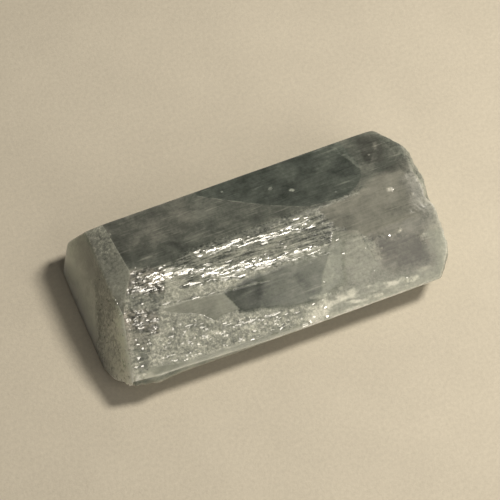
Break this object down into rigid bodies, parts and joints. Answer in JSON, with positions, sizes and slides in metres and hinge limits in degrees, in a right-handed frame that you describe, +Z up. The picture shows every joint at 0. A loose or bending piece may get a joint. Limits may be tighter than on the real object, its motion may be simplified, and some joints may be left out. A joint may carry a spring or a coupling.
{
  "type": "baryte crystal",
  "caption": "Single elongated translucent grey baryte crystal with a striated, part-frosted top, a steep smooth end facet and a rough broken end, lying on its flat base face.",
  "frame": {"origin": "centre of the crystal's bounding box in plan, on the surface its base face rests on", "axes": "+X along the length from the end facet to the broken end, +Y away from the overhanging near edge, +Z up"},
  "size_m": [0.048, 0.024, 0.0104],
  "materials": {
    "baryte": "translucent grey crystal, smooth vitreous faces with milky frosted and finely striated zones"
  },
  "bodies": {
    "root": {"baryte_crystal": "baryte"}
  },
  "joints": []
}
